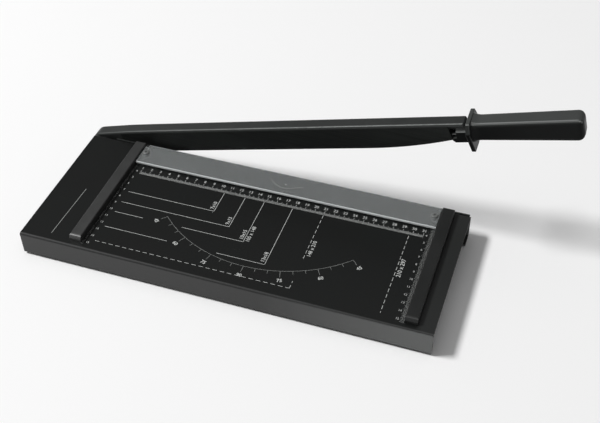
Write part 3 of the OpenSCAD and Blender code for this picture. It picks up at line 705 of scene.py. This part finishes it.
class CUTTER_OT_print_rulers(bpy.types.Operator):
    """Prints the centimetre rulers along the clamp and beside the fences"""

    bl_idname = "cutter.print_rulers"
    bl_label = "Print the rulers"

    def execute(self, context):
        size = context.scene.cutter_print
        rulers = Print("deck_rulers", size.ink_t)
        for x in RULER_SPAN:
            rulers.line(x, RULER_Y, x, RULER_Y + tick(x, RULER_TICKS), size.tick_w)
        for n in RULER_NUMBERS:
            rulers.text(str(n), CM * n, RULER_NUMBER_Y, size.number_h, bold=0.03)
        # The left side scale's ticks are half as long as the right one's
        for y in SIDE_SPAN:
            reach = tick(y, SIDE_TICKS)
            rulers.line(SIDE_TICK_GAP, -y, reach / 2, -y, size.side_tick_w)
            rulers.line(FENCE_GAP - SIDE_TICK_GAP, -y, FENCE_GAP - reach, -y, size.side_tick_w)
        for n in SIDE_NUMBERS:
            y = -CM * n - SIDE_NUMBER_DROP
            rulers.text(str(n), LEFT_NUMBER_GAP, y, size.side_number_h)
            rulers.text(str(n), FENCE_GAP - RIGHT_NUMBER_GAP, y, size.side_number_h)
        rulers.finish(screen_ink("screen_print_ink", size.ink), "base")
        return {"FINISHED"}


class CUTTER_OT_print_sizes(bpy.types.Operator):
    """Prints the outlines of common paper sizes with their numbers"""

    bl_idname = "cutter.print_sizes"
    bl_label = "Print the paper sizes"

    def execute(self, context):
        size = context.scene.cutter_print
        sheets = Print("deck_paper_sizes", size.ink_t)
        for x, y, gaps, labels in PAPER_SIZES:
            starts = [SHEETS_LEFT] + [gap[1] for gap in gaps]
            stops = [gap[0] for gap in gaps] + [x]
            for start, stop in zip(starts, stops):
                sheets.line(start, y, stop, y, size.line_w)
            sheets.line(x, y, x, SHEETS_FAR, size.line_w)
            for words, side, up in labels:
                sheets.text(words, x + side, y + up, size.label_h, LABEL_TURN, LABEL_BOLD, "LEFT")
        for edge in DASHED_EDGES:
            sheets.dashes(*edge, size.line_w, DASH, DASH_GAP)
        for words, x, y, scale, bold in DASHED_LABELS:
            sheets.text(words, x, y, size.label_h * scale, LABEL_TURN, bold, "LEFT")
        sheets.finish(bpy.data.materials["screen_print_ink"], "base")
        return {"FINISHED"}


class CUTTER_OT_print_protractor(bpy.types.Operator):
    """Prints the angle scale and the thin line on the left panel"""

    bl_idname = "cutter.print_protractor"
    bl_label = "Print the protractor"

    def execute(self, context):
        size = context.scene.cutter_print
        scale = Print("deck_protractor", size.ink_t * OVERPRINT)
        scale.arc(SCALE_X, 0, SCALE_R, -SCALE_REACH, SCALE_REACH, size.arc_w, ARC_STEPS)
        for degrees in range(-SCALE_REACH, SCALE_REACH + 1, SHORT_TICK_STEP):
            out = SCALE_R + (LONG_TICK if degrees % LONG_TICK_STEP == 0 else SHORT_TICK)
            scale.line(*from_scale_centre(SCALE_R, degrees), *from_scale_centre(out, degrees),
                       size.arc_w)
        scale.line(*PANEL_LINE, size.arc_w * PANEL_LINE_W)
        scale.finish(screen_ink("faint_print_ink", size.faint_ink), "base")
        numbers = Print("deck_angle_numbers", size.ink_t * OVERPRINT)
        for degrees in range(-SCALE_REACH, SCALE_REACH + 1, LONG_TICK_STEP):
            x, y = from_scale_centre(SCALE_R + ANGLE_NUMBER_OUT, degrees)
            numbers.text(str(90 - abs(degrees)), x, y, size.label_h, degrees, ANGLE_NUMBER_BOLD)
        numbers.finish(bpy.data.materials["screen_print_ink"], "base")
        return {"FINISHED"}


class CUTTER_OT_studio(bpy.types.Operator):
    """Adds the pale floor, the sky, the softbox and the camera"""

    bl_idname = "cutter.studio"
    bl_label = "Set up the studio"

    def execute(self, context):
        studio = context.scene.cutter_studio
        scene = context.scene

        half = FLOOR_HALF
        data = bpy.data.meshes.new("studio_floor")
        data.from_pydata([(-half, -half, 0), (half, -half, 0), (half, half, 0), (-half, half, 0)],
                         [], [(0, 1, 2, 3)])
        floor = new_object("studio_floor", data)
        # Pale to the eye and in reflections, and darker to the light that it throws back up
        material, tree, _ = start_material("paper_backdrop")
        path = add_node(tree, "ShaderNodeLightPath").outputs
        seen = maths(tree, "MAXIMUM", path["Is Camera Ray"], path["Is Glossy Ray"])
        seen = maths(tree, "MAXIMUM", seen, path["Is Transmission Ray"])
        end_material(tree, {"Roughness": 0.9, "Specular IOR Level": 0.1}, {
            "Base Color": two_tone(tree, seen, studio.bounce, studio.floor)})
        data.materials.append(material)

        world = bpy.data.worlds.new("studio_sky")
        scene.world = world
        world.use_nodes = True
        tree = world.node_tree
        background = tree.nodes["Background"]
        background.inputs["Color"].default_value = linear("#FFFFFF")
        # Pale low down, where the backdrop stands, dim above it and pale straight overhead
        height = xyz(tree, add_node(tree, "ShaderNodeTexCoord").outputs["Generated"])["Z"]
        low = span(tree, height, studio.sweep, studio.sky, *SWEEP_BAND)
        high = span(tree, height, 0, studio.ceiling - studio.sky, *CEILING_BAND)
        tree.links.new(maths(tree, "ADD", low, high), background.inputs["Strength"])

        light = bpy.data.lights.new("key_softbox", "AREA")
        light.shape, light.energy = "RECTANGLE", studio.key
        light.size, light.size_y = KEY_SIZE
        softbox = new_object("key_softbox", light)
        softbox.location = KEY_PLACE
        softbox.rotation_euler = (-Vector(KEY_PLACE)).to_track_quat("-Z", "Y").to_euler()

        camera = new_object("camera", bpy.data.cameras.new("camera"))
        camera.data.sensor_fit, camera.data.sensor_width = "HORIZONTAL", CAMERA_SENSOR
        camera.data.lens = CAMERA_LENS
        camera.data.clip_start, camera.data.clip_end = 0.05, 50.0
        camera.location = ZERO + Vector(CAMERA_PLACE) * MM
        camera.rotation_euler = [math.radians(a) for a in CAMERA_TURN]
        scene.camera = camera
        scene.view_settings.view_transform = "Standard"
        return {"FINISHED"}


STEPS = [CUTTER_OT_base_finish, CUTTER_OT_fittings_finish, CUTTER_OT_clamp_finish,
         CUTTER_OT_arm_finish, CUTTER_OT_print_rulers, CUTTER_OT_print_sizes,
         CUTTER_OT_print_protractor, CUTTER_OT_studio]

GROUPS = {"cutter_print": RulerPrintSettings, "cutter_finish": CutterFinishSettings,
          "cutter_studio": StudioSettings}


class CUTTER_PT_panel(bpy.types.Panel):
    """Lists the cutter's steps and settings"""

    bl_label = "Desk Guillotine"
    bl_idname = "CUTTER_PT_panel"
    bl_space_type = "VIEW_3D"
    bl_region_type = "UI"
    bl_category = "Guillotine"

    def draw(self, context):
        layout = self.layout
        for step in STEPS:
            layout.operator(step.bl_idname)
        for group in GROUPS:
            settings = getattr(context.scene, group)
            box = layout.box()
            for name in settings.__annotations__:
                box.prop(settings, name)


def register():
    for name, group in GROUPS.items():
        bpy.utils.register_class(group)
        setattr(bpy.types.Scene, name, bpy.props.PointerProperty(type=group))
    for item in STEPS + [CUTTER_PT_panel]:
        bpy.utils.register_class(item)


def unregister():
    for item in reversed(STEPS + [CUTTER_PT_panel]):
        bpy.utils.unregister_class(item)
    for name, group in GROUPS.items():
        delattr(bpy.types.Scene, name)
        bpy.utils.unregister_class(group)


def main():
    register()
    for step in STEPS:
        area, name = step.bl_idname.split(".")
        getattr(getattr(bpy.ops, area), name)()


if __name__ == "__main__":
    main()
